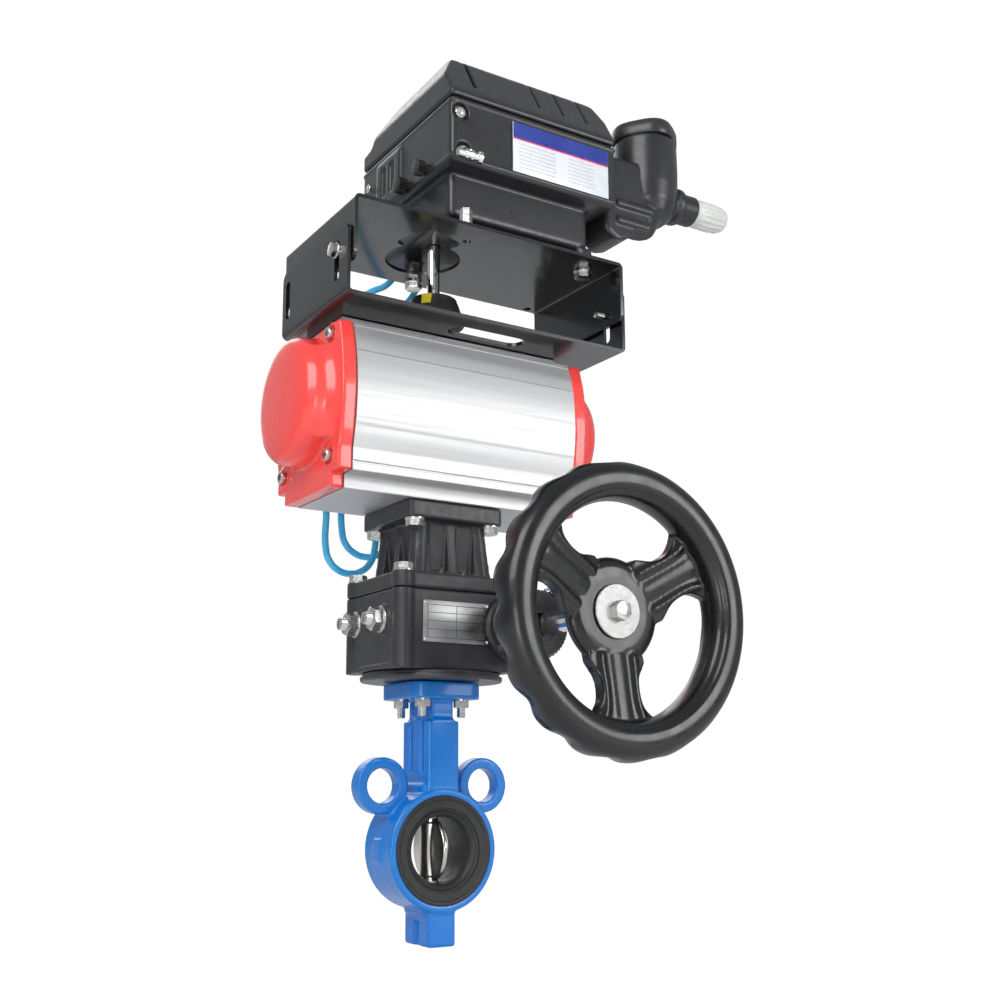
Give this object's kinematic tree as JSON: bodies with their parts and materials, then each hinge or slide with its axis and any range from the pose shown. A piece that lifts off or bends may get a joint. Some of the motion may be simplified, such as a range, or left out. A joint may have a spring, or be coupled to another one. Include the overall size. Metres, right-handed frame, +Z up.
{
  "type": "pneumatically actuated butterfly valve",
  "caption": "Wafer butterfly valve turned by a rack and pinion pneumatic actuator, with a declutchable worm gear handwheel, a slotted bracket, a positioner and air tubes.",
  "frame": {"origin": "centre of the valve bore, on the pipe axis and the stem axis", "axes": "+Z up the stem axis towards the positioner, +Y along the pipe away from the handwheel side, +X along the actuator's cylinder"},
  "size_m": [0.439, 0.303, 0.728],
  "materials": {
    "valve_paint": "gloss blue epoxy on cast iron",
    "rubber": "moulded black EPDM, satin",
    "stainless": "turned stainless steel",
    "chrome": "bright plated",
    "gearbox_paint": "dark grey satin powder coat on cast iron",
    "bronze": "cast and hobbed bronze",
    "handwheel_lacquer": "gloss black enamel on cast iron",
    "anodised_aluminium": "extruded, satin anodised",
    "machined_aluminium": "die cast and machined",
    "cap_paint": "gloss coral red polyester coat",
    "bracket_paint": "gloss black powder coat on bent sheet steel",
    "positioner_paint": "satin black polyester coat on die cast aluminium",
    "black_plastic": "moulded black plastic",
    "yellow_plastic": "moulded yellow plastic",
    "acetal": "machined acetal",
    "circuit_green": "solder-masked glass epoxy",
    "white_nylon": "moulded off-white nylon",
    "label_film": "printed film with blank fields",
    "etched_plate": "thin blank aluminium plate",
    "blue_polyurethane": "translucent light blue tubing"
  },
  "bodies": {
    "valve_frame": {"valve_body": "valve_paint", "valve_liner": "rubber", "stem_bush": "bronze", "valve_bolt_1": "stainless", "valve_bolt_2": "stainless", "valve_bolt_3": "stainless", "valve_bolt_4": "stainless", "gearbox_base_plate": "gearbox_paint", "gearbox_housing": "gearbox_paint", "gearbox_cover": "gearbox_paint", "gearbox_nameplate": "etched_plate", "stop_bolt_front": "stainless", "stop_bolt_rear": "stainless", "stop_nut_front": "stainless", "stop_nut_rear": "stainless", "actuator_body": "anodised_aluminium", "end_cap_left": "cap_paint", "end_cap_right": "cap_paint", "pinion_bush_lower": "acetal", "pinion_bush_upper": "acetal", "bracket_lower": "bracket_paint", "bracket_upper": "bracket_paint", "bracket_bolt_left": "stainless", "bracket_bolt_right": "stainless", "positioner_body": "positioner_paint", "positioner_cover": "positioner_paint", "positioner_label": "label_film", "pilot_relay": "machined_aluminium", "circuit_board": "circuit_green", "terminal_box": "positioner_paint", "terminal_lid": "positioner_paint", "gland_body": "black_plastic", "gland_cap": "white_nylon", "tube_fitting_out_1": "stainless", "tube_fitting_out_2": "stainless", "tube_fitting_port_a": "stainless", "tube_fitting_port_b": "stainless", "air_tube_a": "blue_polyurethane", "air_tube_b": "blue_polyurethane"},
    "drive": {"worm_segment": "bronze", "drive_sleeve": "stainless"},
    "disc": {"valve_disc": "stainless", "valve_stem": "stainless"},
    "pinion": {"pinion": "stainless", "position_indicator": "black_plastic", "indicator_marker": "yellow_plastic"},
    "feedback": {"feedback_shaft": "chrome", "feedback_cam": "acetal"},
    "piston_left": {"piston_left": "machined_aluminium", "piston_seal_left": "rubber"},
    "piston_right": {"piston_right": "machined_aluminium", "piston_seal_right": "rubber"},
    "clutch": {"eccentric_sleeve": "gearbox_paint", "rear_eccentric_bush": "gearbox_paint", "clutch_lever": "chrome"},
    "latch": {"latch_pin": "chrome"},
    "worm": {"worm_shaft": "stainless", "handwheel": "handwheel_lacquer", "hub_washer": "chrome", "hub_bolt": "chrome"}
  },
  "joints": [
    {"name": "drive_turn", "type": "hinge", "parent": "valve_frame", "child": "drive", "pos_m": [0, 0, 0.1735], "axis": [0, 0, 1], "range_deg": [-90, 0]},
    {"name": "disc_turn", "type": "hinge", "parent": "valve_frame", "child": "disc", "pos_m": [0, 0, 0], "axis": [0, 0, 1], "range_deg": [-90, 0]},
    {"name": "pinion_turn", "type": "hinge", "parent": "valve_frame", "child": "pinion", "pos_m": [0, 0, 0.3467], "axis": [0, 0, 1], "range_deg": [-90, 0]},
    {"name": "feedback_turn", "type": "hinge", "parent": "valve_frame", "child": "feedback", "pos_m": [0, 0, 0.5], "axis": [0, 0, 1], "range_deg": [-90, 0]},
    {"name": "piston_left_stroke", "type": "slide", "parent": "valve_frame", "child": "piston_left", "axis": [1, 0, 0], "range_m": [0, 0.03142]},
    {"name": "piston_right_stroke", "type": "slide", "parent": "valve_frame", "child": "piston_right", "axis": [1, 0, 0], "range_m": [-0.03142, 0]},
    {"name": "clutch_turn", "type": "hinge", "parent": "valve_frame", "child": "clutch", "pos_m": [0.0495, 0, 0.1735], "axis": [0, 1, 0], "range_deg": [0, 180]},
    {"name": "latch_pull", "type": "slide", "parent": "clutch", "child": "latch", "axis": [0, -1, 0], "range_m": [0, 0.004], "stiffness_N_per_m": 500},
    {"name": "handwheel_turn", "type": "hinge", "parent": "clutch", "child": "worm", "pos_m": [0.053, 0, 0.1735], "axis": [0, 1, 0], "continuous": true}
  ],
  "couplings": [
    {"joint": "disc_turn", "follows": "drive_turn", "ratio": 1},
    {"joint": "pinion_turn", "follows": "drive_turn", "ratio": 1},
    {"joint": "feedback_turn", "follows": "drive_turn", "ratio": 1},
    {"joint": "piston_left_stroke", "follows": "drive_turn", "m_per_rad": -0.02},
    {"joint": "piston_right_stroke", "follows": "drive_turn", "m_per_rad": 0.02}
  ]
}
